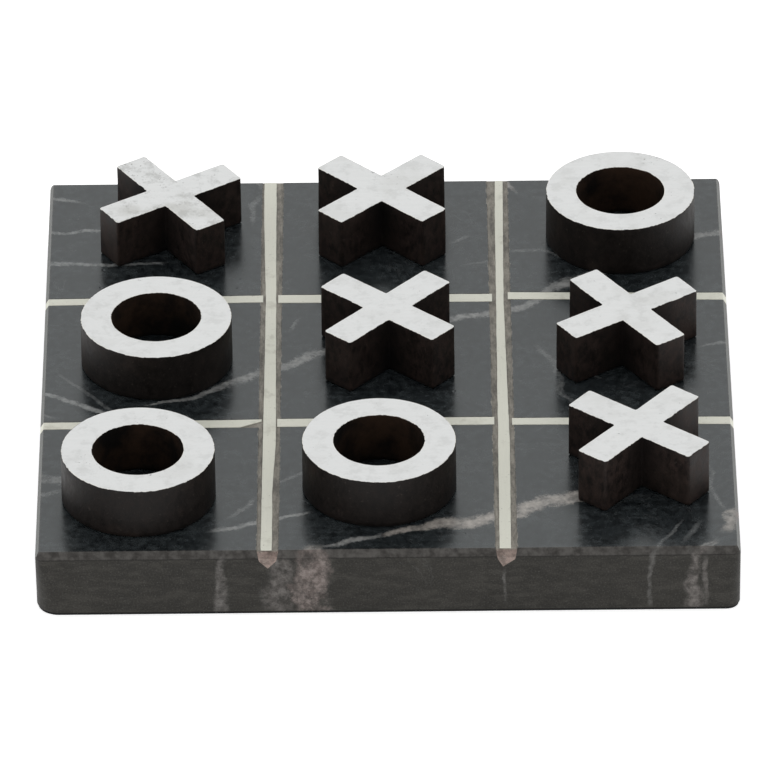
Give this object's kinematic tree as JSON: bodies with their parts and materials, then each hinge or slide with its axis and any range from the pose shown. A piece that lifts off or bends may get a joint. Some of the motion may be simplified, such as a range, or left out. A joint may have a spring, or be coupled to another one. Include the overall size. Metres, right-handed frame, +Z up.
{
  "type": "tic tac toe set",
  "caption": "Square dark marble tic tac toe board with inlaid metal grid strips and loose cast metal X and O playing pieces.",
  "frame": {"origin": "middle of the board's underside, on the surface it stands on", "axes": "+Z up through the board, +X to the player's right, -Y towards the player at the front edge"},
  "size_m": [0.2032, 0.2032, 0.0383],
  "materials": {
    "marble": "satin",
    "backing_rubber": "matte",
    "strip_metal": "satin",
    "bedding_resin": "satin",
    "cast_metal": "satin",
    "pad_rubber": "matte"
  },
  "bodies": {
    "board": {"marble_slab": "marble", "backing_sheet": "backing_rubber", "left_long_strip": "strip_metal", "right_long_strip": "strip_metal", "back_left_cross_strip": "strip_metal", "back_centre_cross_strip": "strip_metal", "back_right_cross_strip": "strip_metal", "front_left_cross_strip": "strip_metal", "front_centre_cross_strip": "strip_metal", "front_right_cross_strip": "strip_metal", "left_long_bedding": "bedding_resin", "right_long_bedding": "bedding_resin", "back_left_cross_bedding": "bedding_resin", "back_centre_cross_bedding": "bedding_resin", "back_right_cross_bedding": "bedding_resin", "front_left_cross_bedding": "bedding_resin", "front_centre_cross_bedding": "bedding_resin", "front_right_cross_bedding": "bedding_resin"},
    "x_back_left": {"x_back_left_casting": "cast_metal", "x_back_left_base_pad": "pad_rubber"},
    "x_back_centre": {"x_back_centre_casting": "cast_metal", "x_back_centre_base_pad": "pad_rubber"},
    "x_centre": {"x_centre_casting": "cast_metal", "x_centre_base_pad": "pad_rubber"},
    "x_middle_right": {"x_middle_right_casting": "cast_metal", "x_middle_right_base_pad": "pad_rubber"},
    "x_front_right": {"x_front_right_casting": "cast_metal", "x_front_right_base_pad": "pad_rubber"},
    "o_back_right": {"o_back_right_casting": "cast_metal", "o_back_right_base_pad": "pad_rubber"},
    "o_middle_left": {"o_middle_left_casting": "cast_metal", "o_middle_left_base_pad": "pad_rubber"},
    "o_front_left": {"o_front_left_casting": "cast_metal", "o_front_left_base_pad": "pad_rubber"},
    "o_front_centre": {"o_front_centre_casting": "cast_metal", "o_front_centre_base_pad": "pad_rubber"}
  },
  "joints": [
    {"name": "lift_x_back_left", "type": "slide", "parent": "board", "child": "x_back_left", "axis": [0, 0, 1], "range_m": [0, 0.06]},
    {"name": "lift_x_back_centre", "type": "slide", "parent": "board", "child": "x_back_centre", "axis": [0, 0, 1], "range_m": [0, 0.06]},
    {"name": "lift_x_centre", "type": "slide", "parent": "board", "child": "x_centre", "axis": [0, 0, 1], "range_m": [0, 0.06]},
    {"name": "lift_x_middle_right", "type": "slide", "parent": "board", "child": "x_middle_right", "axis": [0, 0, 1], "range_m": [0, 0.06]},
    {"name": "lift_x_front_right", "type": "slide", "parent": "board", "child": "x_front_right", "axis": [0, 0, 1], "range_m": [0, 0.06]},
    {"name": "lift_o_back_right", "type": "slide", "parent": "board", "child": "o_back_right", "axis": [0, 0, 1], "range_m": [0, 0.06]},
    {"name": "lift_o_middle_left", "type": "slide", "parent": "board", "child": "o_middle_left", "axis": [0, 0, 1], "range_m": [0, 0.06]},
    {"name": "lift_o_front_left", "type": "slide", "parent": "board", "child": "o_front_left", "axis": [0, 0, 1], "range_m": [0, 0.06]},
    {"name": "lift_o_front_centre", "type": "slide", "parent": "board", "child": "o_front_centre", "axis": [0, 0, 1], "range_m": [0, 0.06]}
  ]
}
